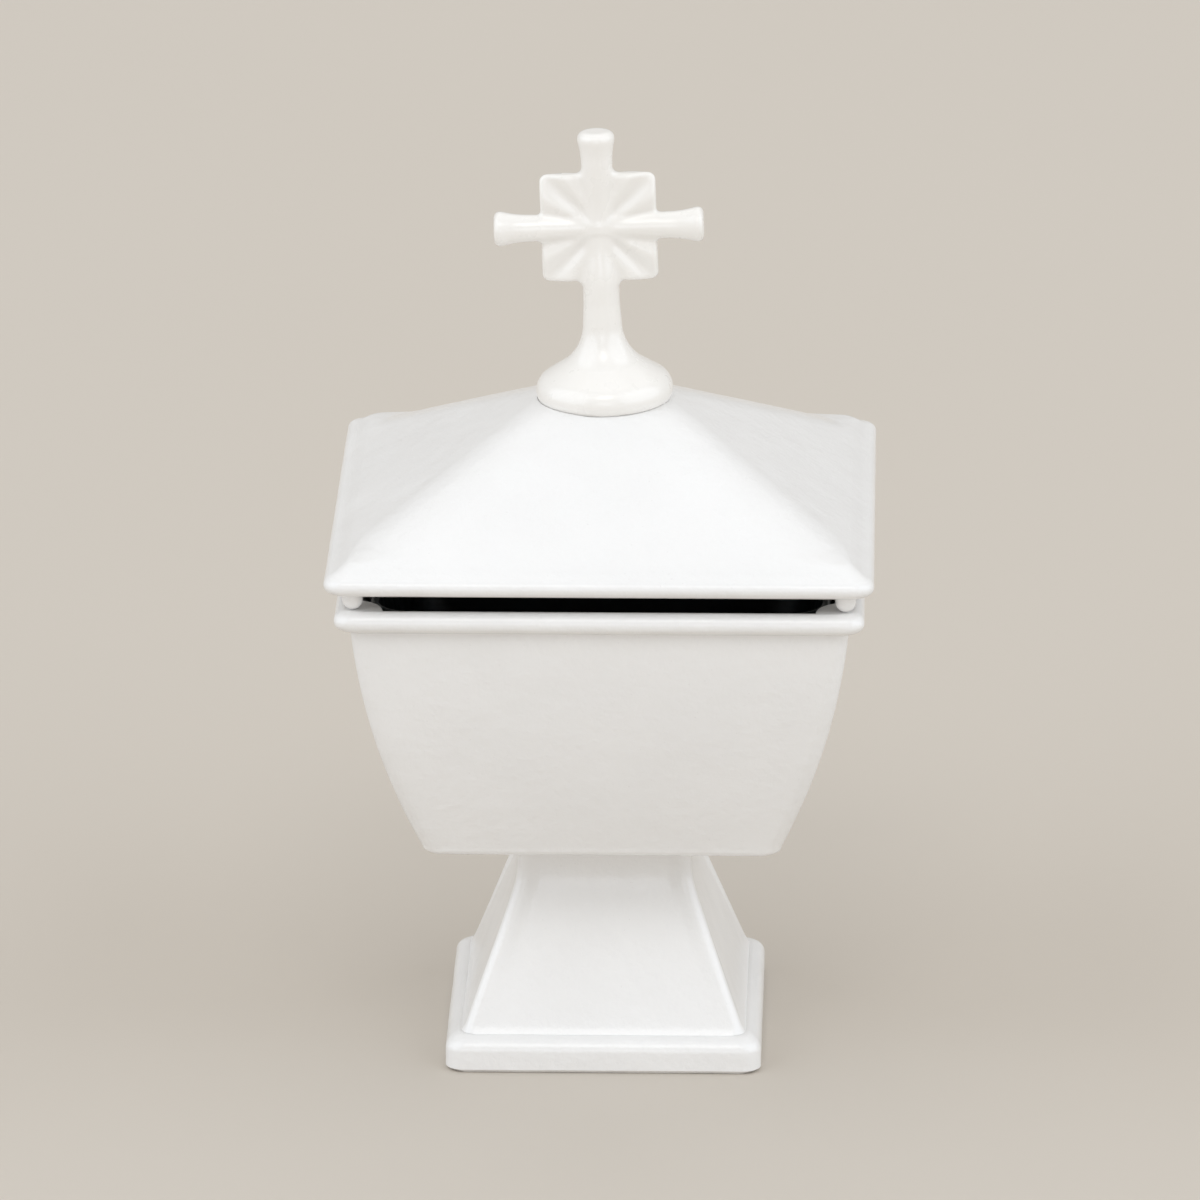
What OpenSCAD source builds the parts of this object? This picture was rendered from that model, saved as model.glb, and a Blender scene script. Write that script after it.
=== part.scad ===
// Square ciborium vessel: a pedestal foot, a tapered bowl with a lift-out liner,
// and a hipped lid with a cross finial that rests on four pegs. Millimetres, +Z up.
// The origin is the centre of the foot's underside.

/* [Foot] */
// Width of the square plinth
foot_w = 50.6; // [48:0.2:54]
// Height of the plinth
plinth_h = 5.8; // [4.8:0.1:6]
// Height of the whole foot, up to the bowl
foot_h = 38; // [37:0.5:42]
// Width of the neck across its corner ridges
neck_w = 27.8; // [27:0.2:30]
// Depth of the sunk panel between the corner ridges
panel_sink = 0.6; // [0.3:0.1:1.2]

/* [Bowl] */
// Width of the bowl where the wall leaves the bottom edge
bowl_bottom_w = 57.6; // [54:0.2:60]
// Width of the bowl under the rim
bowl_top_w = 78.4; // [75:0.2:79]
// How far the wall swells past a straight line
wall_swell = 1.7; // [0:0.05:2.5]
// Height of the rim's top above the table
rim_top_z = 82.8; // [81:0.2:86]
// Width of the rim
rim_w = 83.2; // [82.6:0.2:84]
// Thickness of the cast wall
wall = 2.5; // [2:0.1:3]
// Radius of the round lugs in the rim's corners
lug_r = 4.7; // [4:0.1:5.2]

/* [Liner] */
// Thickness of the liner's sheet
liner_t = 0.9; // [0.6:0.1:1.2]
// Gap between the liner and the bowl
liner_gap = 0.5; // [0.4:0.1:0.8]

/* [Lid] */
// Width of the lid across its edge bead
lid_w = 86.2; // [85:0.2:88]
// Height of the lid from its underside to its flat top
lid_h = 20.05; // [19:0.05:22]
// Air gap between the rim and the lid, set by the pegs
peg_gap = 3.1; // [2.5:0.1:4]
// Diameter of a peg
peg_d = 3.3; // [2.8:0.1:3.6]
// How far the sloping panels swell past a straight line
panel_swell = 0.05; // [0:0.05:0.9]

/* [Finial] */
// Width of the round base
finial_base_w = 21.8; // [21:0.2:23]
// Span of the arms
arm_span = 33.3; // [31:0.1:35]
// Height of the finial
finial_h = 44.1; // [42:0.1:47]
// Width of the square plate behind the arms
plate_w = 18.4; // [17:0.2:20]
// Height of the square plate
plate_h = 17.6; // [16.5:0.1:18.5]
// Lean of the finial towards -X, as it is seated on the lid
finial_lean = 1.8; // [0:0.1:2.5]

/* [Fasteners] */
// Diameter of the screw that holds the foot
foot_screw_d = 5; // [5, 6]
// Diameter of the screw that holds the finial
finial_screw_d = 4; // [3, 4]

/* [Hidden] */
$fn = 48;
enamel = [0.93, 0.92, 0.91];
finial_enamel = [0.95, 0.94, 0.91];
liner_enamel = [0.05, 0.09, 0.11];
plain_steel = [0.72, 0.72, 0.73];

corner_steps = 6;
clearance = 0.05;

// Foot
foot_half = foot_w / 2;
plinth_edge_r = 2.2;
plan_r = 3;
ridge_r = 1.5;
ridge_border = 4.2;
ridge_foot_half = 22.5;
ridge_slope = 0.37;
ridge_blend = 0.35;
foot_cavity_bottom = foot_half - 3.9;
foot_cavity_top = 10.8;
foot_cavity_knee_z = 29;
foot_cavity_sink = 0.3;
foot_top_t = 4.3;

// Bowl
bowl_bottom_r = 1.5;
bowl_floor_t = 3.5;
bowl_floor_z = foot_h + bowl_floor_t;
rim_r = 1.75;
rim_crest = rim_w / 2 - rim_r;
wall_z0 = foot_h + 1.8;
wall_z1 = rim_top_z - 2 * rim_r;
lug_t = 2.6;
peg_at = 38.6;

// Lid
lid_z = rim_top_z + peg_gap;
lid_top_z = lid_z + lid_h;
lid_t = 2.7;
bead_r = 1.48;
bead_crest = lid_w / 2 - bead_r;
panel_foot = [39.5, 4.5];
panel_head = [11.4, lid_h - 0.55];
hip_r = 9.5;
lid_cavity_half = 38.4;
lid_cavity_knee = [35.6, 4.3];
lid_ceiling = [10.9, lid_h - 3.35];
lid_pad_r = 4;
lid_pad_at = 37.4;
peg_shank_r = 1.1;
peg_shank_h = 1.9;
press = 0.02;

// Finial
seat_z = lid_top_z - 0.35;
seat_r = finial_base_w / 2 - 0.2;
lid_seat_t = 2.5;
stem_r = 2.9;
arm_r = 2;
plate_t = 2.6;
plate_corner_r = 1.2;
plate_z = finial_h - 15.7;

// Fasteners
csk_h = 2.5;
csk_r = foot_screw_d / 2 + 2.1;
csk_gap = 0.1;
foot_screw_len = 16;
foot_washer_t = 1;
foot_nut_h = 4;
foot_nut_af = foot_screw_d == 5 ? 8 : 10;
finial_screw_len = 10;
finial_washer_t = 0.8;
finial_head_h = 2.4;
finial_head_r = finial_screw_d;
tapped_depth = 8;

// ---- Outlines and profiles ----

// Points of an arc in a profile, as [half-width, height]
function arc(centre, r, from, to, steps = 5) = [
    for (i = [0 : steps])
        let (a = from + (to - from) * i / steps)
        centre + r * [cos(a), sin(a)]
];

// One corner of an outline turned to the corner that k names
function turned(point, k) =
    let (c = [1, 0, -1, 0][k], s = [0, 1, 0, -1][k])
    [c * point[0] - s * point[1], s * point[0] + c * point[1]];

// A square outline with rounded corners, anticlockwise, at height z
function square_ring(half, r, z) = [
    for (k = [0 : 3]) for (i = [0 : corner_steps])
        let (a = 90 * i / corner_steps)
        concat(turned([half - r + r * cos(a), half - r + r * sin(a)], k), z)
];

// The foot's outline: corner ridges with a panel sunk between them
function ridge_ring(half, r, sink, z) =
    let (
        span = ridge_border - r,
        side = [
            for (i = [0 : 3])
                let (q = ridge_border - span * i / 4, f = (1 - cos(180 * (q - r) / span)) / 2)
                [half - sink * f, half - q]
        ],
        round = [for (i = [0 : 4]) let (a = 90 * i / 4) [half - r + r * cos(a), half - r + r * sin(a)]],
        other = [for (i = [3 : -1 : 0]) [side[i][1], side[i][0]]],
        corner = concat(side, round, other)
    )
    [for (k = [0 : 3]) for (p = corner) concat(turned(p, k), z)];

// Closed skin through a list of rings that all have the same number of points
module loft(rings) {
    n = len(rings[0]);
    last = len(rings) - 1;
    polyhedron(
        points = [for (ring = rings) for (p = ring) p],
        faces = concat(
            [[for (j = [0 : n - 1]) j]],
            [for (i = [0 : last - 1]) for (j = [0 : n - 1])
                [i * n + j, (i + 1) * n + j, (i + 1) * n + (j + 1) % n]],
            [for (i = [0 : last - 1]) for (j = [0 : n - 1])
                [i * n + j, (i + 1) * n + (j + 1) % n, i * n + (j + 1) % n]],
            [[for (j = [n - 1 : -1 : 0]) last * n + j]]
        ),
        convexity = 6
    );
}

// Half-width of the bowl's outside at height z: a straight taper with a swell
function bowl_half(z) =
    let (t = (z - wall_z0) / (wall_z1 - wall_z0), u = 2 * t - 1)
    (bowl_bottom_w + (bowl_top_w - bowl_bottom_w) * t) / 2 + wall_swell * (1 - u * u);

// Half-width across the foot's ridges: a straight slope that eases into the neck
function foot_ridge_half(z) =
    let (over = ridge_foot_half - ridge_slope * (z - plinth_h) - neck_w / 2)
    neck_w / 2 + (over + sqrt(over * over + 4 * ridge_blend * ridge_blend)) / 2;

// Height of the lid's panel over its underside at half-width w
function panel_h(w) =
    let (t = (panel_foot[0] - w) / (panel_foot[0] - panel_head[0]), u = 2 * t - 1)
    panel_foot[1] + (panel_head[1] - panel_foot[1]) * t + panel_swell * (1 - u * u);

// ---- Foot ----

module foot() {
    plinth = concat(
        [[foot_half - 0.6, 0], [foot_half, 0.6]],
        arc([foot_half - plinth_edge_r, plinth_h - plinth_edge_r], plinth_edge_r, 0, 90)
    );
    slope_steps = 14;
    color(enamel)
    difference() {
        loft(concat(
            [
                ridge_ring(foot_cavity_top, ridge_r, foot_cavity_sink, foot_h - foot_top_t),
                ridge_ring(foot_cavity_top, ridge_r, foot_cavity_sink, foot_cavity_knee_z),
                ridge_ring(foot_cavity_bottom, ridge_r, foot_cavity_sink, 0)
            ],
            [for (p = plinth) ridge_ring(p[0], plan_r, 0, p[1])],
            [ridge_ring(ridge_foot_half, ridge_r, 0, plinth_h + 0.05)],
            [for (i = [0 : slope_steps])
                let (z = plinth_h + 0.8 + (foot_h - plinth_h - 0.8) * i / slope_steps)
                ridge_ring(foot_ridge_half(z), ridge_r, panel_sink, z)]
        ));
        translate([0, 0, foot_h - foot_top_t - 1])
            cylinder(r = foot_screw_d / 2 + 0.25, h = foot_top_t + 2);
    }
}

// ---- Bowl ----

module bowl() {
    wall_steps = 12;
    outside = concat(
        arc([bowl_bottom_w / 2 - bowl_bottom_r - 0.2, foot_h + bowl_bottom_r], bowl_bottom_r, -90, -10, 3),
        [for (i = [0 : wall_steps])
            let (z = wall_z0 + (wall_z1 - wall_z0) * i / wall_steps)
            [bowl_half(z), z]]
    );
    inside = concat(
        [for (i = [wall_steps : -1 : 1])
            let (z = bowl_floor_z + 2 + (wall_z1 - bowl_floor_z - 1.2) * i / wall_steps)
            [bowl_half(z) - wall, z]],
        [
            [bowl_half(bowl_floor_z + 2) - wall, bowl_floor_z + 2],
            [bowl_half(bowl_floor_z + 2) - wall - 0.6, bowl_floor_z + 0.7],
            [bowl_half(bowl_floor_z + 2) - wall - 1.8, bowl_floor_z]
        ]
    );
    rim = arc([rim_crest, rim_top_z - rim_r], rim_r, -85, 150, 11);
    color(enamel)
    difference() {
        union() {
            loft(concat(
                [for (p = outside) square_ring(p[0], 2.5, p[1])],
                [for (p = rim) square_ring(p[0], 2.5, p[1])],
                [for (p = inside) square_ring(p[0], 2, p[1])]
            ));
            for (k = [0 : 3])
                rotate(90 * k)
                intersection() {
                    translate([peg_at, peg_at, rim_top_z - lug_t])
                        cylinder(r = lug_r, h = lug_t);
                    translate([0, 0, rim_top_z - lug_t - 1])
                        cube([rim_crest, rim_crest, lug_t + 2]);
                }
        }
        translate([0, 0, foot_h - 1])
            cylinder(r = foot_screw_d / 2 + 0.25, h = bowl_floor_t + 2);
        translate([0, 0, bowl_floor_z - csk_h - csk_gap])
            cylinder(
                r1 = foot_screw_d / 2 + csk_gap,
                r2 = csk_r + csk_gap + 2 * csk_gap * (csk_r - foot_screw_d / 2) / csk_h,
                h = csk_h + 2 * csk_gap
            );
    }
}

// ---- Liner ----

module liner() {
    wall_steps = 10;
    lip_r = 0.75;
    lip_z = rim_top_z - 2.2;
    floor_z = bowl_floor_z + 0.1;
    knee_z = floor_z + 2.5;
    inset = wall + liner_gap;
    outside = concat(
        [
            [bowl_half(knee_z) - inset - 2.4, floor_z],
            [bowl_half(knee_z) - inset - 0.9, floor_z + 0.8]
        ],
        [for (i = [0 : wall_steps])
            let (z = knee_z + (lip_z - 1 - knee_z) * i / wall_steps)
            [bowl_half(z) - inset, z]]
    );
    inside = concat(
        [for (i = [wall_steps : -1 : 0])
            let (z = knee_z + (lip_z - 1 - knee_z) * i / wall_steps)
            [bowl_half(z) - inset - liner_t, z]],
        [
            [bowl_half(knee_z) - inset - liner_t - 0.9, floor_z + 0.8 + liner_t],
            [bowl_half(knee_z) - inset - liner_t - 2.4, floor_z + liner_t]
        ]
    );
    lip = arc([bowl_half(lip_z) - inset - lip_r, lip_z], lip_r, 0, 180, 6);
    color(liner_enamel)
        loft([for (p = concat(outside, lip, inside)) square_ring(p[0], 6, p[1])]);
}

// ---- Lid ----

module lid() {
    panel_steps = 12;
    inside_steps = 6;
    bead = arc([bead_crest, bead_r], bead_r, -90, 78, 9);
    rise = lid_ceiling[1] - lid_cavity_knee[1];
    color(enamel)
    difference() {
        union() {
            translate([0, 0, lid_z])
            loft(concat(
                [for (i = [0 : inside_steps])
                    let (w = lid_ceiling[0] + (lid_cavity_knee[0] - lid_ceiling[0]) * i / inside_steps)
                    square_ring(w, hip_r - 0.5, panel_h(w) - lid_t)],
                [
                    square_ring(lid_cavity_half, 2, 2.6),
                    square_ring(lid_cavity_half, 2, 0)
                ],
                [for (p = bead) square_ring(p[0], plan_r - (bead_crest + bead_r - p[0]) * 0.4, p[1])],
                [
                    square_ring(panel_foot[0] + 1.8, 2.5, panel_foot[1] - 1.25),
                    square_ring(panel_foot[0] + 1, 2.5, panel_foot[1] - 0.68),
                    square_ring(panel_foot[0], 2.5, panel_foot[1]),
                    square_ring(panel_foot[0] - 0.7, 5.5, panel_h(panel_foot[0] - 0.7))
                ],
                [for (i = [1 : panel_steps])
                    let (w = panel_foot[0] + (panel_head[0] - panel_foot[0]) * i / panel_steps)
                    square_ring(w, hip_r, panel_h(w))],
                [
                    square_ring(panel_head[0] - 0.8, 9, lid_h - 0.2),
                    square_ring(panel_head[0] - 1.6, 8.6, lid_h)
                ]
            ));
            for (k = [0 : 3])
                rotate(90 * k)
                translate([lid_pad_at, lid_pad_at, lid_z])
                cylinder(r = lid_pad_r, h = 2.9);
        }
        for (k = [0 : 3])
            rotate(90 * k)
            translate([peg_at, peg_at, lid_z - 1])
            cylinder(r = peg_shank_r, h = peg_shank_h + 1);
        at_seat() {
            cylinder(r = seat_r + 0.1, h = 3);
            translate([0, 0, -lid_seat_t - 4])
                cylinder(r = finial_head_r + 1.5, h = 4);
            translate([0, 0, -lid_seat_t - 2])
                cylinder(r = finial_screw_d / 2 + 0.25, h = lid_seat_t + 4);
        }
    }
}

// A peg stands on the bowl's lug with a round end, and its shank is pressed into the lid
module lid_peg(side_x, side_y) {
    r = peg_d / 2;
    color(enamel)
    translate([side_x * peg_at, side_y * peg_at, rim_top_z])
    rotate_extrude()
        polygon(concat(
            [[0, clearance]],
            arc([0, r + clearance], r, -80, 0, 8),
            [
                [r, peg_gap],
                [peg_shank_r + press, peg_gap],
                [peg_shank_r + press, peg_gap + peg_shank_h - 0.2],
                [0, peg_gap + peg_shank_h - 0.2]
            ]
        ));
}

// ---- Finial ----

// Places children on the finial's seat, leaning with it
module at_seat() {
    translate([0, 0, seat_z])
    rotate([0, -finial_lean, 0])
    children();
}

// A round arm along +Z that swells to a rounded end
module round_arm(root_r, neck_r, end_r, neck_z, length) {
    edge = 1;
    rotate_extrude()
        polygon(concat(
            [[0, 0], [root_r, 0], [neck_r, neck_z]],
            [for (i = [1 : 4])
                let (t = i / 4, z = neck_z + (length - edge - neck_z) * t)
                [neck_r + (end_r - neck_r) * t * t, z]],
            arc([end_r - edge, length - edge], edge, 15, 90, 4),
            [[0, length + 0.15]]
        ));
}

// The square plate with a V groove along each half-diagonal, front and back
module rayed_plate() {
    w = plate_w - 2 * plate_corner_r;
    h = plate_h - 2 * plate_corner_r;
    groove_len = plate_h / 2;
    difference() {
        rotate([90, 0, 0])
        linear_extrude(height = plate_t, center = true)
        union() {
            square([plate_w, h], center = true);
            square([w, plate_h], center = true);
            for (x = [-1, 1]) for (z = [-1, 1])
                translate([x * w / 2, z * h / 2])
                circle(r = plate_corner_r);
        }
        for (face = [-1, 1]) for (k = [0 : 3])
            rotate([0, 45 + 90 * k, 0])
            translate([2.2, face * (plate_t / 2 + 0.15), 0])
            rotate([0, 0, -face * 4])
            rotate([45, 0, 0])
            translate([0, -0.7, -0.7])
            cube([groove_len, 1.4, 1.4]);
    }
}

module finial_cross() {
    base_arc_r = 3;
    base_arc = [finial_base_w / 2 - base_arc_r, 1.6];
    flare_r = 8;
    flare = [stem_r + 0.2 + flare_r, 12.8];
    color(finial_enamel)
    at_seat()
    difference() {
        union() {
            rotate_extrude()
                polygon(concat(
                    [[0, 0]],
                    arc(base_arc, base_arc_r, -asin(base_arc[1] / base_arc_r), 54.8, 8),
                    arc(flare, flare_r, 235.2, 180, 8),
                    [[stem_r, 15.8], [stem_r - 0.05, plate_z - 6], [0, plate_z - 6]]
                ));
            translate([0, 0, plate_z])
                rayed_plate();
            translate([0, 0, plate_z - 6.1])
                cylinder(r1 = stem_r - 0.05, r2 = 1.5, h = 6.1);
            translate([0, 0, plate_z])
                round_arm(1.5, 2.5, 2.95, plate_h / 2 + 1, finial_h - plate_z);
            for (side = [-1, 1])
                translate([0, 0, plate_z])
                rotate([0, 90 * side, 0])
                round_arm(1.4, arm_r, 2.5, plate_w / 2 + 1, arm_span / 2);
        }
        translate([0, 0, -1])
            cylinder(r = finial_screw_d / 2 + clearance, h = tapped_depth + 1);
    }
}

module finial_screw() {
    slot_w = 1;
    slot_deep = 1;
    color(plain_steel)
    at_seat()
    translate([0, 0, -lid_seat_t - finial_washer_t])
    difference() {
        union() {
            cylinder(r = finial_screw_d / 2, h = finial_screw_len);
            rotate_extrude()
                polygon(concat(
                    [[0, 0], [finial_head_r, 0]],
                    arc([finial_head_r - 1.2, 1.2 - finial_head_h], 1.2, 0, -90, 5),
                    [[0, -finial_head_h]]
                ));
        }
        translate([-finial_head_r - 1, -slot_w / 2, -finial_head_h - 1])
            cube([2 * finial_head_r + 2, slot_w, slot_deep + 1]);
    }
}

module finial_washer() {
    color(plain_steel)
    at_seat()
    translate([0, 0, -lid_seat_t - finial_washer_t])
    difference() {
        cylinder(r = finial_head_r + 0.5, h = finial_washer_t);
        translate([0, 0, -1])
            cylinder(r = finial_screw_d / 2 + 0.15, h = finial_washer_t + 2);
    }
}

// ---- Fasteners of the foot ----

module foot_screw() {
    socket_af = 3;
    socket_deep = 1.6;
    top_z = bowl_floor_z - csk_gap;
    color(plain_steel)
    difference() {
        union() {
            translate([0, 0, top_z - foot_screw_len])
                cylinder(r = foot_screw_d / 2, h = foot_screw_len);
            translate([0, 0, top_z - csk_h])
                cylinder(r1 = foot_screw_d / 2, r2 = csk_r, h = csk_h);
        }
        translate([0, 0, top_z - socket_deep])
            cylinder(r = socket_af / sqrt(3), h = socket_deep + 1, $fn = 6);
    }
}

module foot_washer() {
    color(plain_steel)
    translate([0, 0, foot_h - foot_top_t - foot_washer_t])
    difference() {
        cylinder(r = foot_screw_d, h = foot_washer_t);
        translate([0, 0, -1])
            cylinder(r = foot_screw_d / 2 + 0.15, h = foot_washer_t + 2);
    }
}

module foot_nut() {
    color(plain_steel)
    translate([0, 0, foot_h - foot_top_t - foot_washer_t - foot_nut_h])
    difference() {
        cylinder(r = foot_nut_af / sqrt(3), h = foot_nut_h, $fn = 6);
        translate([0, 0, -1])
            cylinder(r = foot_screw_d / 2 + clearance, h = foot_nut_h + 2);
    }
}

foot();
bowl();
liner();
lid();
lid_peg(-1, -1);  // lid_peg_front_left
lid_peg(1, -1);  // lid_peg_front_right
lid_peg(-1, 1);  // lid_peg_back_left
lid_peg(1, 1);  // lid_peg_back_right
finial_cross();
finial_screw();
finial_washer();
foot_screw();
foot_washer();
foot_nut();
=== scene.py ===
import math

import bmesh
import bpy
import numpy as np
from mathutils import Matrix, Vector, noise


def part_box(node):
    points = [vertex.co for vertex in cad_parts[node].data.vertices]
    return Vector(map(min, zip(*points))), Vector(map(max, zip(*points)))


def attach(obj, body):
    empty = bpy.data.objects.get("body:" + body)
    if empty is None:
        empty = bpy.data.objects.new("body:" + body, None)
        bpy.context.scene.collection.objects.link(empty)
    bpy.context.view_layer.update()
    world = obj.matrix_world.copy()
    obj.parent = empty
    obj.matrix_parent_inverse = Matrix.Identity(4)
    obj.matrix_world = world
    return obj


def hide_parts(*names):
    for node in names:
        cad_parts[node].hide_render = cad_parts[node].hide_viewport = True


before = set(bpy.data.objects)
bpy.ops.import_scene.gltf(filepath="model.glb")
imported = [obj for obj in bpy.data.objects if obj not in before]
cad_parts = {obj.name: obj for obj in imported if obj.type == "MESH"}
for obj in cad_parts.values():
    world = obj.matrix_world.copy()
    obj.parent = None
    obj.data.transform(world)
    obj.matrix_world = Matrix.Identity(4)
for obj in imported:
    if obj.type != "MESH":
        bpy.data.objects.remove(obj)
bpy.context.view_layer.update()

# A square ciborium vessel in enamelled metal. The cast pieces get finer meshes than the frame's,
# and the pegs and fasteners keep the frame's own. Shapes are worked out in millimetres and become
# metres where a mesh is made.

MM = 0.001

# ---- Sizes of the finer meshes, in millimetres ----

CORNER_STEPS = 14
SIDE_STEPS = 56
RIDGE_STEPS = 10
PANEL_STEPS = 28
END_CROWDING = 0.4  # how much a side's points gather near its corners
WAVE_DEPTH = 0.09  # the casting's waviness, always into the metal
WAVE_LENGTH = 9.0
WAVE_MIDDLE = 0.5  # share of the depth where the noise is zero
WAVE_GAIN = 0.6
RIPPLE_SHARE = 0.3
RIPPLES_PER_WAVE = 3.1
LEVEL_FACE = 0.97  # a normal this upright belongs to a flat face, which stays true
SHARP_ANGLE = math.radians(38)

# Foot
PLINTH_H = 5.8
PLINTH_EDGE_R = 2.4
PLINTH_CHAMFER = 0.6
PLAN_R = 3.0
RIDGE_R = 1.5
RIDGE_BORDER = 4.2  # distance from the corner where a panel starts
RIDGE_FOOT_HALF = 22.5
COVE_H = 2.2  # the hollow curve between the plinth and the slope
COVE_START = 0.03
COVE_FLARE = 0.3  # how much wider the slope is where it meets the plinth
COVE_ROUNDING = 0.6  # how much rounder its ridges are there
COVE_EASE = 2.5
SINK_REACH = 26.0  # height over which the panels sink to their full depth
RIDGE_SLOPE = 0.37
RIDGE_BLEND = 0.35
NECK_HALF = 13.9
PANEL_SINK = 0.6
FOOT_WALL = 3.9
FOOT_CAVITY_HALF = 10.8
FOOT_CAVITY_KNEE_Z = 29.0
FOOT_CAVITY_SINK = 0.3
FOOT_TOP_T = 4.3
FOOT_HOLE_R = 2.75

# Bowl and liner
BOWL_BOTTOM_HALF = 28.8
BOWL_TOP_HALF = 39.2
BOWL_EDGE_R = 1.5
BOWL_EDGE_INSET = 0.2
BOWL_CORNER_R = 2.5
BOWL_CAVITY_CORNER_R = 2
WALL_START = 1.8  # height of the wall's start over the bowl's underside
WALL_SWELL = 1.7
WALL = 2.5
FLOOR_T = 3.5
CAVITY_FILLET_H = 2
CAVITY_FILLET = ((0.6, 0.7), (1.8, 0))  # inset from the wall, height over the floor
COUNTERSINK = ((2.6, -2.6), (4.868, 0.1))  # radius, height over the floor
RIM_R = 1.75
RIM_LAP = 0.8  # how far the wall's inside runs up behind the rim
LUG_R = 4.7
LUG_T = 2.6
LUG_EDGE_R = 0.45
LUG_CUT_R = 1.2
PEG_AT = 38.6
LINER_GAP = 0.5
LINER_LIFT = 0.1
LINER_T = 0.9
LINER_CORNER_R = 6.0
LINER_KNEE_R = 2.5  # the turn from the liner's floor to its wall
LINER_KNEE_RISE = 0.05
LIP_R = 0.75
LIP_DEPTH = 2.2

# Lid
BEAD_R = 1.48
BEAD_TURN = 0.4  # how fast the corners tighten as the bead turns inwards
EAVE = ((1.8, 3.25), (1.4, 3.5), (1, 3.79))  # width outside the panel's foot, height
EAVE_CORNER_R = 2.5
PANEL_FOOT = (39.5, 4.5)
PANEL_HEAD = (11.4, 19.5)
PANEL_SWELL = 0.05
HIP_R = 9.5
HIP_REACH = 2.6  # distance from the eaves over which the hips grow round
HIP_STEP = 0.6  # from the last of those outlines to the next
CROWN = ((0.8, 9, -0.2), (1.6, 8.6, 0))  # inset, corner radius, height over the lid's top
LID_T = 2.7
LID_CAVITY_HALF = 38.4
LID_CAVITY_CORNER_R = 2
LID_CAVITY_SIDE = (2.6, 1.3, 0)
LID_CAVITY_KNEE = 35.6
LID_CEILING_HALF = 10.9
LID_CEILING_CORNER_R = 9.0
PAD_AT = 37.4
PAD_R = 4.0
PAD_H = 2.9
PEG_HOLE_R = 1.1
PEG_HOLE_H = 1.9

# Finial
SEAT_DEPTH = 0.35
SEAT_R = 10.8
SEAT_T = 2.5
SPOT_FACE_R = 5.5
SCREW_HOLE_R = 2.25
LEAN = math.radians(1.8)
FINIAL_STEP = 0.25
BASE_ARC = ((7.9, 1.6), 3.0, -32.2, 54.8)  # centre, radius, first and last angle
FLARE_ARC = ((11.1, 12.6), 8.0, 235.2, 180)
STEM_Z = 15.8
STEM_R = 2.9
STEM_TAPER = 1.2  # how much the stem narrows above STEM_TAPER_Z
STEM_TAPER_Z = 19
# Each arm: radius at its root, neck and end, place of the neck, length, radius of the end's edge
SIDE_ARM = (1.7, 2.15, 3.15, 11.0, 16.65, 1.6)
TOP_ARM = (1.6, 2.5, 3.4, 10.4, 15.7, 1.9)
TOP_ARM_LENGTH = TOP_ARM[4]
PLATE_Z = 28.4
PLATE_HALF = (9.2, 8.8)
PLATE_T = 1.08  # half its thickness
PLATE_CORNER_R = 1.2
PLATE_EDGE_R = 0.9
RAYS_PER_TURN = 12
RAY_H = 0.25
RAY_START = 1.5  # distance from the middle where the rays begin to rise
RAY_FADE = 4.5
GROOVE_H = 0.22  # the deeper groove towards each corner of the plate
GROOVE_WIDTH = 1.1
BOSS = (2.6, 1.6, 2.6)  # half-sizes of the swelling in the plate's middle
CORE_R = 1.68  # the upright where it crosses the plate
CORE_REACH = 7
CORE_FILLET = 0.3
FILLET = 0.9
UPRIGHT_FILLET = 1.4
BASE_EDGE_R = 0.25
TAPPED_R = 2.05
TAPPED_DEPTH = 8
FINIAL_LOW = (-18.0, -12.0, -1.0)  # corners of the box that is sampled
FINIAL_HIGH = (18.0, 12.0, PLATE_Z + TOP_ARM_LENGTH + 1)
SLOPE_STEP = 0.01

# Materials
NOISE_RANGE = (0.3, 0.7)  # the part of a noise texture's values that is used


# ---- Outlines ----

def arc(centre, radius, start, end, steps):
    """Points [half-width, height] of an arc in a profile, with its angles in degrees."""
    angles = np.radians(np.linspace(start, end, steps + 1))
    across = centre[0] + radius * np.cos(angles)
    up = centre[1] + radius * np.sin(angles)
    return np.column_stack([across, up])


def quarter_turns(corner):
    """The outline made of one corner's points, turned to all four corners."""
    turned = [corner]
    for _ in range(3):
        previous = turned[-1]
        turned.append(np.column_stack([-previous[:, 1], previous[:, 0]]))
    return np.concatenate(turned)


def with_side(corner, steps):
    """A corner's points, then the side up to the next corner, closer near the ends."""
    start = corner[-1]
    end = np.array([-corner[0][1], corner[0][0]])
    share = np.arange(1, steps) / steps
    share = (1 - END_CROWDING) * share + END_CROWDING * (1 - np.cos(math.pi * share)) / 2
    side = start + (end - start) * share[:, None]
    return np.concatenate([corner, side])


def square_ring(half, radius, z):
    """A square outline with rounded corners at height z."""
    corner = arc((half - radius, half - radius), radius, 0, 90, CORNER_STEPS)
    outline = quarter_turns(with_side(corner, SIDE_STEPS))
    return np.column_stack([outline, np.full(len(outline), z)])


def ridge_ring(half, radius, sink, z):
    """The foot's outline: a ridge on each corner, with the panel between them sunk by sink."""
    span = RIDGE_BORDER - radius
    q = RIDGE_BORDER - span * np.arange(RIDGE_STEPS) / RIDGE_STEPS
    depth = sink * (1 - np.cos(math.pi * (q - radius) / span)) / 2
    side = np.column_stack([half - depth, half - q])
    crest = arc((half - radius, half - radius), radius, 0, 90, RIDGE_STEPS)
    corner = np.concatenate([side, crest, side[::-1, ::-1]])
    outline = quarter_turns(with_side(corner, PANEL_STEPS))
    return np.column_stack([outline, np.full(len(outline), z)])


def bowl_half(z):
    """Half-width of the bowl's outside at height z: a straight taper with a swell."""
    low = foot_top + WALL_START
    t = (z - low) / (rim_top - 2 * RIM_R - low)
    straight = BOWL_BOTTOM_HALF + (BOWL_TOP_HALF - BOWL_BOTTOM_HALF) * t
    return straight + WALL_SWELL * (1 - (2 * t - 1) ** 2)


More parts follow.
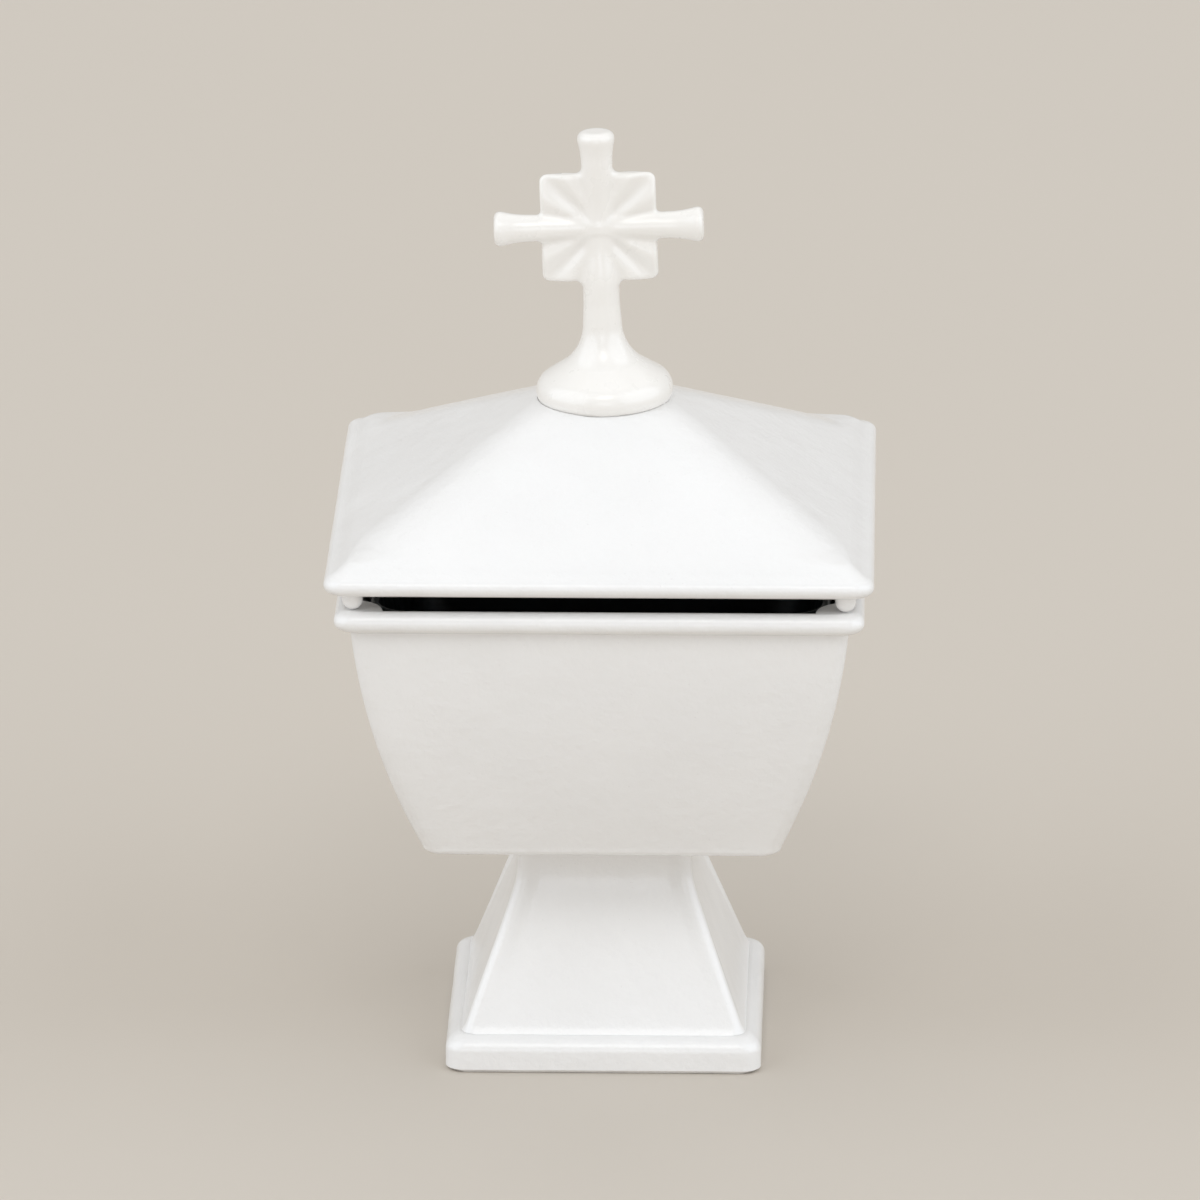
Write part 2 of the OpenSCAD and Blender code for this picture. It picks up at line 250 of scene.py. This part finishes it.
def ridge_half(z):
    """Half-width across the foot's ridges: a straight slope that eases into the neck."""
    over = RIDGE_FOOT_HALF - RIDGE_SLOPE * (z - PLINTH_H) - NECK_HALF
    return NECK_HALF + (over + math.sqrt(over * over + 4 * RIDGE_BLEND ** 2)) / 2


def foot_sink(z):
    """Depth of the foot's panels between the ridges: none at the plinth, growing upwards."""
    t = min(max((z - PLINTH_H) / SINK_REACH, 0), 1)
    return PANEL_SINK * t * t * (3 - 2 * t)


def panel_height(w):
    """Height of the lid's panel over its underside at half-width w."""
    t = (PANEL_FOOT[0] - w) / (PANEL_FOOT[0] - PANEL_HEAD[0])
    straight = PANEL_FOOT[1] + (PANEL_HEAD[1] - PANEL_FOOT[1]) * t
    return straight + PANEL_SWELL * (1 - (2 * t - 1) ** 2)


# ---- Meshes ----

def new_piece(name, points, faces):
    """An object from points in millimetres."""
    mesh = bpy.data.meshes.new(name)
    mesh.from_pydata((np.asarray(points) * MM).tolist(), [], faces)
    piece = bpy.data.objects.new(name, mesh)
    bpy.context.scene.collection.objects.link(piece)
    return piece


def tidy_normals(piece):
    """Makes every face look outwards."""
    work = bmesh.new()
    work.from_mesh(piece.data)
    bmesh.ops.recalc_face_normals(work, faces=work.faces)
    work.to_mesh(piece.data)
    work.free()


def loft(name, rings):
    """A closed skin through rings that all have the same number of points."""
    rings = np.array(rings)
    count, around = rings.shape[:2]
    faces = []
    for i in range(count - 1):
        for j in range(around):
            here, after = i * around + j, i * around + (j + 1) % around
            faces.append([here, here + around, after + around, after])
    faces.append(list(range(around)))
    faces.append(list(range(count * around - 1, (count - 1) * around - 1, -1)))
    piece = new_piece(name, rings.reshape(-1, 3), faces)
    tidy_normals(piece)
    return piece


def disc_column(name, x, y, profile, steps=64):
    """A turned solid about a vertical axis at x, y, from a profile of [radius, height]."""
    angles = 2 * math.pi * np.arange(steps) / steps
    rings = [
        np.column_stack([x + r * np.cos(angles), y + r * np.sin(angles), np.full(steps, z)])
        for r, z in profile
    ]
    return loft(name, rings)


def combine(piece, operation, tool):
    """Joins the tool to a piece, cuts it away or keeps what they share, and deletes it."""
    modifier = piece.modifiers.new(operation, "BOOLEAN")
    modifier.operation = operation
    modifier.solver = "EXACT"
    modifier.object = tool
    depsgraph = bpy.context.evaluated_depsgraph_get()
    mesh = bpy.data.meshes.new_from_object(piece.evaluated_get(depsgraph))
    piece.modifiers.clear()
    piece.data = mesh
    bpy.data.objects.remove(tool)


def wave_surface(piece, depth):
    """Moves the points a little into the metal, as a sand casting's skin wanders."""
    points = piece.data.vertices
    normals = [vertex.normal.copy() for vertex in points]
    for vertex, normal in zip(points, normals):
        if abs(normal.z) > LEVEL_FACE:
            continue
        place = vertex.co / (WAVE_LENGTH * MM)
        swell = noise.noise(place) + RIPPLE_SHARE * noise.noise(place * RIPPLES_PER_WAVE)
        vertex.co -= normal * depth * MM * min(max(WAVE_MIDDLE + WAVE_GAIN * swell, 0), 1)


def shade(piece):
    """Smooth shading that keeps the true edges."""
    piece.data.shade_smooth()
    piece.data.set_sharp_from_angle(angle=SHARP_ANGLE)


# ---- Foot ----

def make_foot():
    """The square foot, hollow from below, with a hole for its screw in the top."""
    cavity_low = foot_half - FOOT_WALL
    ledge = foot_top - FOOT_TOP_T
    rings = [ridge_ring(FOOT_CAVITY_HALF, RIDGE_R, FOOT_CAVITY_SINK, ledge)]
    for share in np.linspace(0, 1, 13):
        half = FOOT_CAVITY_HALF + (cavity_low - FOOT_CAVITY_HALF) * share
        rings.append(ridge_ring(half, RIDGE_R, FOOT_CAVITY_SINK, FOOT_CAVITY_KNEE_Z * (1 - share)))
    rings.append(ridge_ring(foot_half - PLINTH_CHAMFER, PLAN_R, 0, 0))
    side = np.linspace(PLINTH_CHAMFER, PLINTH_H - PLINTH_EDGE_R, 5)[:-1]
    rings += [ridge_ring(foot_half, PLAN_R, 0, z) for z in side]
    edge_centre = (foot_half - PLINTH_EDGE_R, PLINTH_H - PLINTH_EDGE_R)
    edge = arc(edge_centre, PLINTH_EDGE_R, 0, 90, 14)
    rings += [ridge_ring(w, PLAN_R, 0, z) for w, z in edge]
    narrowing = ridge_half(PLINTH_H + COVE_H) - RIDGE_FOOT_HALF
    for share in np.linspace(0, 1, 10) ** 2:
        eased = 1 - (1 - share) ** COVE_EASE
        half = RIDGE_FOOT_HALF + COVE_FLARE * (1 - eased) + narrowing * share
        z = PLINTH_H + COVE_START + (COVE_H - COVE_START) * share
        rings.append(ridge_ring(half, RIDGE_R + COVE_ROUNDING * (1 - eased), foot_sink(z), z))
    for z in np.linspace(PLINTH_H + COVE_H, foot_top, 52)[1:]:
        rings.append(ridge_ring(ridge_half(z), RIDGE_R, foot_sink(z), z))
    foot = loft("foot_casting", rings)
    wave_surface(foot, WAVE_DEPTH)
    hole = [(FOOT_HOLE_R, ledge - 1), (FOOT_HOLE_R, foot_top + 1)]
    combine(foot, "DIFFERENCE", disc_column("hole", 0, 0, hole))
    return foot


# ---- Bowl ----

def make_bowl():
    """The bowl with its rim and lugs, and a countersunk hole in its floor."""
    floor = foot_top + FLOOR_T
    wall_low, wall_high = foot_top + WALL_START, rim_top - 2 * RIM_R
    edge_centre = (BOWL_BOTTOM_HALF - BOWL_EDGE_R - BOWL_EDGE_INSET, foot_top + BOWL_EDGE_R)
    edge = arc(edge_centre, BOWL_EDGE_R, -90, -10, 10)
    outside = [(bowl_half(z), z) for z in np.linspace(wall_low, wall_high, 44)]
    rim = arc((rim_half - RIM_R, rim_top - RIM_R), RIM_R, -85, 150, 30)
    inside_low = floor + CAVITY_FILLET_H
    inside = [(bowl_half(z) - WALL, z) for z in np.linspace(wall_high + RIM_LAP, inside_low, 24)]
    fillet = [(bowl_half(inside_low) - WALL - inset, floor + rise) for inset, rise in CAVITY_FILLET]
    rings = [square_ring(w, BOWL_CORNER_R, z) for w, z in [*edge, *outside, *rim]]
    rings += [square_ring(w, BOWL_CAVITY_CORNER_R, z) for w, z in [*inside, *fillet]]
    bowl = loft("bowl_casting", rings)
    wave_surface(bowl, WAVE_DEPTH)
    for x in (-1, 1):
        for y in (-1, 1):
            combine(bowl, "UNION", make_lug(x, y))
    hole = [(FOOT_HOLE_R, foot_top - 1), (FOOT_HOLE_R, floor + 1)]
    combine(bowl, "DIFFERENCE", disc_column("hole", 0, 0, hole))
    countersink = [(radius, floor + rise) for radius, rise in COUNTERSINK]
    combine(bowl, "DIFFERENCE", disc_column("countersink", 0, 0, countersink))
    return bowl


def make_lug(x, y):
    """A round lug in one corner of the rim, cut off inside the rim's crest."""
    top = arc((LUG_R - LUG_EDGE_R, rim_top - LUG_EDGE_R), LUG_EDGE_R, 0, 90, 6)
    low = arc((LUG_R - LUG_EDGE_R, rim_top - LUG_T + LUG_EDGE_R), LUG_EDGE_R, -90, 0, 6)
    lug = disc_column("lug", x * PEG_AT, y * PEG_AT, [*low, *top], steps=96)
    crest = rim_half - RIM_R
    block = square_ring(crest, LUG_CUT_R, rim_top - LUG_T - 1)
    lift = np.array([0, 0, LUG_T + 2])
    combine(lug, "INTERSECT", loft("block", [block, block + lift]))
    return lug


# ---- Liner ----

def make_liner():
    """The cup that lifts out of the bowl, with a rounded lip."""
    lip_z = rim_top - LIP_DEPTH
    floor = foot_top + FLOOR_T + LINER_LIFT
    knee = floor + LINER_KNEE_R
    inset = WALL + LINER_GAP
    knee_half = bowl_half(knee) - inset
    heights = np.linspace(knee, lip_z - 1, 30)
    knee_centre = (knee_half - LINER_KNEE_R, knee + LINER_KNEE_RISE)
    outer_knee = arc(knee_centre, LINER_KNEE_R, -88, -8, 8)
    inner_knee = arc(knee_centre, LINER_KNEE_R - LINER_T, -8, -88, 8)
    outside = [*outer_knee, *[(bowl_half(z) - inset, z) for z in heights]]
    lip = arc((bowl_half(lip_z) - inset - LIP_R, lip_z), LIP_R, 0, 180, 14)
    inside = [*[(bowl_half(z) - inset - LINER_T, z) for z in heights[::-1]], *inner_knee]
    rings = [square_ring(w, LINER_CORNER_R, z) for w, z in [*outside, *lip, *inside]]
    return loft("liner_cup", rings)


# ---- Lid ----

def make_lid():
    """The hipped lid, hollow from below, with pads for its pegs and a leaning seat for the finial."""
    crest = lid_half - BEAD_R
    rings = []
    for share in np.linspace(0, 1, 26):
        w = LID_CEILING_HALF + (LID_CAVITY_KNEE - LID_CEILING_HALF) * share
        rings.append(square_ring(w, LID_CEILING_CORNER_R, panel_height(w) - LID_T))
    rings += [square_ring(LID_CAVITY_HALF, LID_CAVITY_CORNER_R, z) for z in LID_CAVITY_SIDE]
    for w, z in arc((crest, BEAD_R), BEAD_R, -90, 78, 24):
        rings.append(square_ring(w, PLAN_R - (lid_half - w) * BEAD_TURN, z))
    rings += [square_ring(PANEL_FOOT[0] + out, EAVE_CORNER_R, z) for out, z in EAVE]
    for share in np.linspace(0, 1, 13):
        w = PANEL_FOOT[0] - HIP_REACH * share
        corner_r = EAVE_CORNER_R + (HIP_R - EAVE_CORNER_R) * share * (2 - share)
        rings.append(square_ring(w, corner_r, panel_height(w)))
    for w in np.linspace(PANEL_FOOT[0] - HIP_REACH - HIP_STEP, PANEL_HEAD[0], 48):
        rings.append(square_ring(w, HIP_R, panel_height(w)))
    for inset, corner_r, rise in CROWN:
        rings.append(square_ring(PANEL_HEAD[0] - inset, corner_r, lid_h + rise))
    lid = loft("lid_casting", np.array(rings) + [0, 0, lid_low])
    wave_surface(lid, WAVE_DEPTH)
    for x in (-1, 1):
        for y in (-1, 1):
            pad = [(PAD_R, lid_low), (PAD_R, lid_low + PAD_H)]
            combine(lid, "UNION", disc_column("pad", x * PAD_AT, y * PAD_AT, pad))
            hole = [(PEG_HOLE_R, lid_low - 1), (PEG_HOLE_R, lid_low + PEG_HOLE_H)]
            combine(lid, "DIFFERENCE", disc_column("peg_hole", x * PEG_AT, y * PEG_AT, hole))
    cuts = (
        (SEAT_R, 0, 3),
        (SPOT_FACE_R, -SEAT_T - 4, -SEAT_T),
        (SCREW_HOLE_R, -SEAT_T - 2, 2),
    )
    for radius, low, high in cuts:
        tool = disc_column("spot_face", 0, 0, [(radius, low), (radius, high)])
        tool.data.transform(on_seat())
        combine(lid, "DIFFERENCE", tool)
    return lid


def on_seat():
    """The transform from the finial's own axes to its leaning seat on the lid."""
    return Matrix.Translation((0, 0, (lid_top - SEAT_DEPTH) * MM)) @ Matrix.Rotation(-LEAN, 4, "Y")


# ---- Finial ----

def soft_union(a, b, reach=FILLET):
    """The nearer of two distances, with a fillet where they are alike."""
    blend = np.clip(0.5 + 0.5 * (b - a) / reach, 0, 1)
    return b + (a - b) * blend - reach * blend * (1 - blend)


def soft_cut(a, b, reach):
    """Where both distances hold, with the edge rounded."""
    return -soft_union(-a, -b, reach)


def turned_distance(across, along, reach, radii):
    """Distance to a solid turned about an axis, from its radius at each place along it."""
    radius = np.interp(along, reach, radii)
    slope = np.interp(along, reach, np.gradient(radii, reach))
    return (across - radius) / np.sqrt(1 + slope * slope)


def arm_distance(across, along, root, neck, end, neck_at, length, end_r):
    """Distance to an arm that widens to its neck, and then more quickly to a rounded end."""
    reach = np.linspace(0, length, 60)
    t = np.clip((reach - neck_at) / (length - neck_at), 0, 1)
    taper = root + (neck - root) * reach / neck_at
    radii = np.where(reach < neck_at, taper, neck + (end - neck) * t * t)
    side = turned_distance(across, along, reach, radii)
    return np.maximum(soft_cut(side, along - length, end_r), -along)


def plate_distance(x, y, up):
    """Distance to the square plate, whose faces carry rays between the arms."""
    dx = np.abs(x) - (PLATE_HALF[0] - PLATE_CORNER_R)
    dz = np.abs(up) - (PLATE_HALF[1] - PLATE_CORNER_R)
    past_corner = np.hypot(np.maximum(dx, 0), np.maximum(dz, 0))
    outline = past_corner + np.minimum(np.maximum(dx, dz), 0) - PLATE_CORNER_R
    angle = np.arctan2(np.abs(up), np.abs(x))
    out = np.hypot(x, up)
    fade = np.clip((out - RAY_START) / RAY_FADE, 0, 1)
    groove = np.exp(-((angle - math.pi / 4) * out / GROOVE_WIDTH) ** 2)
    rays = RAY_H * np.cos(RAYS_PER_TURN * angle) - GROOVE_H * groove
    return soft_cut(outline, np.abs(y) - (PLATE_T + fade * rays), PLATE_EDGE_R)


def finial_distance(x, y, z):
    """Signed distance to the finial, in millimetres, in its own axes."""
    base = arc(*BASE_ARC, 20)
    flare = arc(*FLARE_ARC, 20)
    stem_z = np.linspace(STEM_Z, PLATE_Z, 16)
    taper = np.clip((stem_z - STEM_TAPER_Z) / (PLATE_Z - STEM_TAPER_Z), 0, 1)
    stem = np.column_stack([STEM_R - STEM_TAPER * taper * taper * (3 - 2 * taper), stem_z])
    profile = np.concatenate([base, flare[1:], stem])
    upright = np.hypot(x, y)
    foot = turned_distance(upright, z, profile[:, 1], profile[:, 0])
    foot = np.maximum(foot, z - PLATE_Z)
    up = z - PLATE_Z
    top_arm = arm_distance(upright, up, *TOP_ARM)
    side_arm = arm_distance(np.hypot(y, up), np.abs(x), *SIDE_ARM)
    boss = np.sqrt((x / BOSS[0]) ** 2 + (y / BOSS[1]) ** 2 + (up / BOSS[2]) ** 2) - 1
    solid = soft_union(plate_distance(x, y, up), boss * BOSS[1], UPRIGHT_FILLET)
    solid = soft_union(solid, foot, UPRIGHT_FILLET)
    solid = soft_union(solid, top_arm, UPRIGHT_FILLET)
    core = np.maximum(upright - CORE_R, np.abs(up) - CORE_REACH)
    solid = soft_union(solid, core, CORE_FILLET)
    solid = soft_union(solid, side_arm)
    solid = soft_cut(solid, -z, BASE_EDGE_R)
    tapped_hole = np.maximum(upright - TAPPED_R, z - TAPPED_DEPTH)
    return np.maximum(solid, -tapped_hole)


def surface_net(field, low, step):
    """Points and quads of the surface where a sampled distance field crosses zero.

    Each cell that the surface passes through gets one point, the mean of the places where it
    crosses the cell's edges, and each crossed edge of the grid gets a quad between four cells.
    """
    steps = [(i, j, k) for i in (0, 1) for j in (0, 1) for k in (0, 1)]
    nx, ny, nz = (n - 1 for n in field.shape)
    values = np.stack([field[i:i + nx, j:j + ny, k:k + nz] for i, j, k in steps])
    inside = values < 0
    mixed = inside.any(0) & ~inside.all(0)
    cells = np.argwhere(mixed)
    number = np.full(mixed.shape, -1)
    number[mixed] = np.arange(len(cells))
    at_corner = values[:, mixed]
    total, crossings = np.zeros((len(cells), 3)), np.zeros(len(cells))
    for a, start in enumerate(steps):
        for b, end in enumerate(steps):
            if b > a and sum(end) - sum(start) == 1 and all(e >= s for s, e in zip(start, end)):
                crosses = (at_corner[a] < 0) != (at_corner[b] < 0)
                drop = np.where(crosses, at_corner[a] - at_corner[b], 1)
                share = np.where(crosses, at_corner[a] / drop, 0)
                point = np.array(start) + share[:, None] * (np.array(end) - np.array(start))
                total += point * crosses[:, None]
                crossings += crosses
    points = low + step * (cells + total / crossings[:, None])
    quads = []
    for axis in range(3):
        first, second = (axis + 1) % 3, (axis + 2) % 3
        here, there = np.moveaxis(field, axis, 0)[:-1], np.moveaxis(field, axis, 0)[1:]
        places = np.argwhere(np.moveaxis((here < 0) != (there < 0), 0, axis))
        for place in places:
            around = []
            for back_first, back_second in ((1, 1), (0, 1), (0, 0), (1, 0)):
                cell = place.copy()
                cell[first] -= back_first
                cell[second] -= back_second
                around.append(int(number[tuple(cell)]))
            quads.append(around)
    return points, quads


def finial_slope(points, way):
    """How fast the distance grows along a unit vector, at each point."""
    ahead = finial_distance(*(points + SLOPE_STEP * way).T)
    behind = finial_distance(*(points - SLOPE_STEP * way).T)
    return (ahead - behind) / (2 * SLOPE_STEP)


def make_finial():
    """The finial from its distance field, its points then moved onto the true surface."""
    axes = [np.arange(low, high, FINIAL_STEP) for low, high in zip(FINIAL_LOW, FINIAL_HIGH)]
    field = finial_distance(*np.meshgrid(*axes, indexing="ij"))
    points, quads = surface_net(field, np.array(FINIAL_LOW), FINIAL_STEP)
    for _ in range(3):
        here = finial_distance(*points.T)
        slope = np.column_stack([finial_slope(points, way) for way in np.eye(3)])
        move = here[:, None] * slope / np.maximum((slope ** 2).sum(1), 0.1)[:, None]
        points = points - np.clip(move, -FINIAL_STEP / 2, FINIAL_STEP / 2)
    finial = new_piece("finial_casting", points, quads)
    tidy_normals(finial)
    finial.data.transform(on_seat())
    return finial


# ---- Materials ----

def new_material(name, **sockets):
    """A material with one Principled shader, its even values set on the shader's own sockets."""
    material = bpy.data.materials.new(name)
    material.use_nodes = True
    shader = material.node_tree.nodes["Principled BSDF"]
    for socket, value in sockets.items():
        shader.inputs[socket.replace("_", " ")].default_value = value
    return material, material.node_tree, shader


def noise_node(tree, scale, detail, roughness=0.5, stretch=(1, 1, 1)):
    """A noise texture in the piece's own space. The scale is in waves per metre."""
    place = tree.nodes.new("ShaderNodeTexCoord")
    mapping = tree.nodes.new("ShaderNodeMapping")
    mapping.inputs["Scale"].default_value = stretch
    texture = tree.nodes.new("ShaderNodeTexNoise")
    texture.inputs["Scale"].default_value = scale
    texture.inputs["Detail"].default_value = detail
    texture.inputs["Roughness"].default_value = roughness
    tree.links.new(place.outputs["Object"], mapping.inputs["Vector"])
    tree.links.new(mapping.outputs["Vector"], texture.inputs["Vector"])
    return texture.outputs["Fac"]


def ramp(tree, source, stops):
    """A colour ramp from stops of (place, colour)."""
    stops = list(stops)
    node = tree.nodes.new("ShaderNodeValToRGB")
    elements = node.color_ramp.elements
    while len(elements) < len(stops):
        elements.new(0.5)
    for element, (place, colour) in zip(elements, stops):
        element.position = place
        element.color = (*colour, 1)
    tree.links.new(source, node.inputs["Fac"])
    return node.outputs["Color"]


def clouds(tree, source, dark, light):
    """A colour that drifts between two with the source."""
    return ramp(tree, source, zip(NOISE_RANGE, (dark, light)))


def spread(tree, source, low, high):
    """The source's middle range, mapped to values from low to high."""
    node = tree.nodes.new("ShaderNodeMapRange")
    values = (*NOISE_RANGE, low, high)
    for socket, value in zip(("From Min", "From Max", "To Min", "To Max"), values):
        node.inputs[socket].default_value = value
    tree.links.new(source, node.inputs["Value"])
    return node.outputs["Result"]


def multiply(tree, first, second):
    """Two colours multiplied."""
    node = tree.nodes.new("ShaderNodeMix")
    node.data_type = "RGBA"
    node.blend_type = "MULTIPLY"
    node.inputs["Factor"].default_value = 1
    tree.links.new(first, node.inputs["A"])
    tree.links.new(second, node.inputs["B"])
    return node.outputs["Result"]


def bumps(tree, shader, layers):
    """Layers of bump, each (height source, depth in metres), added one on another."""
    previous = None
    for source, depth in layers:
        node = tree.nodes.new("ShaderNodeBump")
        node.inputs["Distance"].default_value = depth
        tree.links.new(source, node.inputs["Height"])
        if previous:
            tree.links.new(previous, node.inputs["Normal"])
        previous = node.outputs["Normal"]
    tree.links.new(previous, shader.inputs["Normal"])


def enamel(name, light, dark, gloss, grain, speck):
    """White coat over a sand casting: cloudy colour, pinholes, and the sand's grain."""
    material, tree, shader = new_material(name, Coat_Weight=0.7, Coat_Roughness=0.17, IOR=1.5)
    cloud = clouds(tree, noise_node(tree, 55, 4), dark, light)
    pinholes = ramp(tree, noise_node(tree, 2300, 1), ((0.2, speck), (0.25, (1, 1, 1))))
    tree.links.new(multiply(tree, cloud, pinholes), shader.inputs["Base Color"])
    tree.links.new(spread(tree, noise_node(tree, 240, 3), *gloss), shader.inputs["Roughness"])
    sand = noise_node(tree, 620, 3, 0.55)
    flow = noise_node(tree, 130, 2)
    bumps(tree, shader, ((flow, grain * 1.4), (sand, grain)))
    return material


def liner_enamel():
    """Glossy blue-black coat with the slight ripple of a dipped enamel; its drift towards teal is a
    painted reflection, the gleam on the glossy black put into its colour.
    """
    coat = {"Coat_Weight": 0.1, "Coat_Roughness": 0.15, "IOR": 1.4}
    material, tree, shader = new_material("liner_enamel", **coat)
    # The black is the coat's own colour; the teal is painted reflection, a gleam set into the base
    # colour.
    black, teal_painted_reflection = (0.0012, 0.002, 0.0025), (0.003, 0.011, 0.016)
    colour = clouds(tree, noise_node(tree, 160, 5), black, teal_painted_reflection)
    tree.links.new(colour, shader.inputs["Base Color"])
    tree.links.new(spread(tree, noise_node(tree, 300, 3), 0.3, 0.45), shader.inputs["Roughness"])
    bumps(tree, shader, ((noise_node(tree, 180, 2), 0.00008), (noise_node(tree, 900, 2), 0.00001)))
    return material


def plain_steel():
    """Zinc-bright steel with fine turning marks."""
    material, tree, shader = new_material("plain_steel", Metallic=1.0)
    colour = clouds(tree, noise_node(tree, 700, 4), (0.5, 0.5, 0.51), (0.68, 0.68, 0.68))
    marks = noise_node(tree, 500, 2, stretch=(1, 1, 9))
    tree.links.new(colour, shader.inputs["Base Color"])
    tree.links.new(spread(tree, marks, 0.24, 0.42), shader.inputs["Roughness"])
    bumps(tree, shader, ((marks, 0.00002),))
    return material


def floor_paper():
    """Matt warm paper."""
    material, tree, shader = new_material("floor_paper", Roughness=0.95, Specular_IOR_Level=0.0)
    colour = clouds(tree, noise_node(tree, 3, 2), (0.6, 0.55, 0.486), (0.608, 0.558, 0.494))
    tree.links.new(colour, shader.inputs["Base Color"])
    return material


def give(piece, material):
    """Makes it the piece's one material."""
    piece.data.materials.clear()
    piece.data.materials.append(material)


# ---- Stage ----

def make_floor():
    """A wide, plain sheet under the vessel."""
    reach = 4.0
    corners = np.array([[-1, -1, 0], [1, -1, 0], [1, 1, 0], [-1, 1, 0]]) * reach / MM
    floor = new_piece("floor", corners, [[0, 1, 2, 3]])
    give(floor, floor_paper())


def make_sun(name, azimuth, elevation, strength, width, colour):
    """A broad soft light, its width in degrees. Azimuth 0 is in front, 90 at the right."""
    light = bpy.data.lights.new(name, "SUN")
    light.energy = strength
    light.angle = math.radians(width)
    light.color = colour
    lamp = bpy.data.objects.new(name, light)
    bpy.context.scene.collection.objects.link(lamp)
    lamp.rotation_mode = "QUATERNION"
    lamp.rotation_quaternion = direction(azimuth, elevation).to_track_quat("Z", "Y")


def direction(azimuth, elevation):
    """Unit vector from the vessel towards that azimuth and elevation, in degrees."""
    turn, rise = math.radians(azimuth), math.radians(elevation)
    level = math.cos(rise)
    return Vector((math.sin(turn) * level, -math.cos(turn) * level, math.sin(rise)))


def make_lights():
    """An even pale surround with a broad light on each side, and weaker ones in front and behind."""
    scene = bpy.context.scene
    scene.view_settings.view_transform = "Standard"
    world = bpy.data.worlds.new("studio")
    scene.world = world
    world.use_nodes = True
    background = world.node_tree.nodes["Background"]
    background.inputs["Color"].default_value = (1.0, 0.96, 0.91, 1)
    background.inputs["Strength"].default_value = 0.53
    plain, cool, pale_blue = (1.0, 1.0, 1.0), (0.95, 1.0, 1.1), (0.9, 1.0, 1.12)
    make_sun("left_light", -70, 25, 1.25, 75, pale_blue)
    make_sun("right_light", 70, 25, 1.3, 75, pale_blue)
    make_sun("front_light", 0, 5, 0.2, 24, cool)
    make_sun("key_light", 0, 48, 0.4, 26, plain)
    make_sun("back_light", 180, 60, 0.36, 60, plain)


def make_camera():
    """A long lens in front, a little above and hardly to the right, aimed just under the middle."""
    distance = 1.811
    azimuth, elevation, roll = 1.578, 18.445, -0.184
    back = direction(azimuth, elevation)
    turn = back.to_track_quat("Z", "Y")
    middle = Vector((0, 0, 0.075))
    aim_left, aim_down = 0.00091, 0.00326
    camera = bpy.data.objects.new("camera", bpy.data.cameras.new("camera"))
    camera.data.sensor_width = 36
    camera.data.lens = 339.6
    camera.data.clip_end = 20
    camera.location = middle + back * distance
    aim = middle - turn @ Vector((1, 0, 0)) * aim_left - turn @ Vector((0, 1, 0)) * aim_down
    look = (camera.location - aim).to_track_quat("Z", "Y")
    camera.rotation_mode = "QUATERNION"
    camera.rotation_quaternion = look @ Matrix.Rotation(math.radians(roll), 3, "Z").to_quaternion()
    bpy.context.scene.collection.objects.link(camera)
    bpy.context.scene.camera = camera


# ---- The vessel ----

foot_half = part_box("foot")[1].x / MM
foot_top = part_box("foot")[1].z / MM
rim_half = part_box("bowl")[1].x / MM
rim_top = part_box("bowl")[1].z / MM
lid_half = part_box("lid")[1].x / MM
lid_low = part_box("lid")[0].z / MM
lid_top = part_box("lid")[1].z / MM
lid_h = lid_top - lid_low

white = enamel(
    "white_enamel",
    light=(0.87, 0.86, 0.845),
    dark=(0.84, 0.83, 0.815),
    gloss=(0.3, 0.44),
    grain=0.00014,
    speck=(0.93, 0.92, 0.92),
)
warm = enamel(
    "finial_enamel",
    light=(0.9, 0.875, 0.835),
    dark=(0.885, 0.86, 0.815),
    gloss=(0.26, 0.32),
    grain=0.000007,
    speck=(0.96, 0.95, 0.93),
)
black = liner_enamel()
steel = plain_steel()

make_floor()
make_lights()
make_camera()

pieces = (
    (make_foot(), "vessel", "foot", "white_enamel", white),
    (make_bowl(), "vessel", "bowl", "white_enamel", white),
    (make_liner(), "liner", "liner", "liner_enamel", black),
    (make_lid(), "lid", "lid", "white_enamel", white),
    (make_finial(), "lid", "finial_cross", "finial_enamel", warm),
)
for piece, body, node, slot, material in pieces:
    shade(piece)
    give(piece, material)
    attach(piece, body)
    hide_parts(node)

for name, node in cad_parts.items():
    if name.startswith("lid_peg"):
        give(node, white)
    elif name.endswith(("screw", "washer", "nut")):
        give(node, steel)
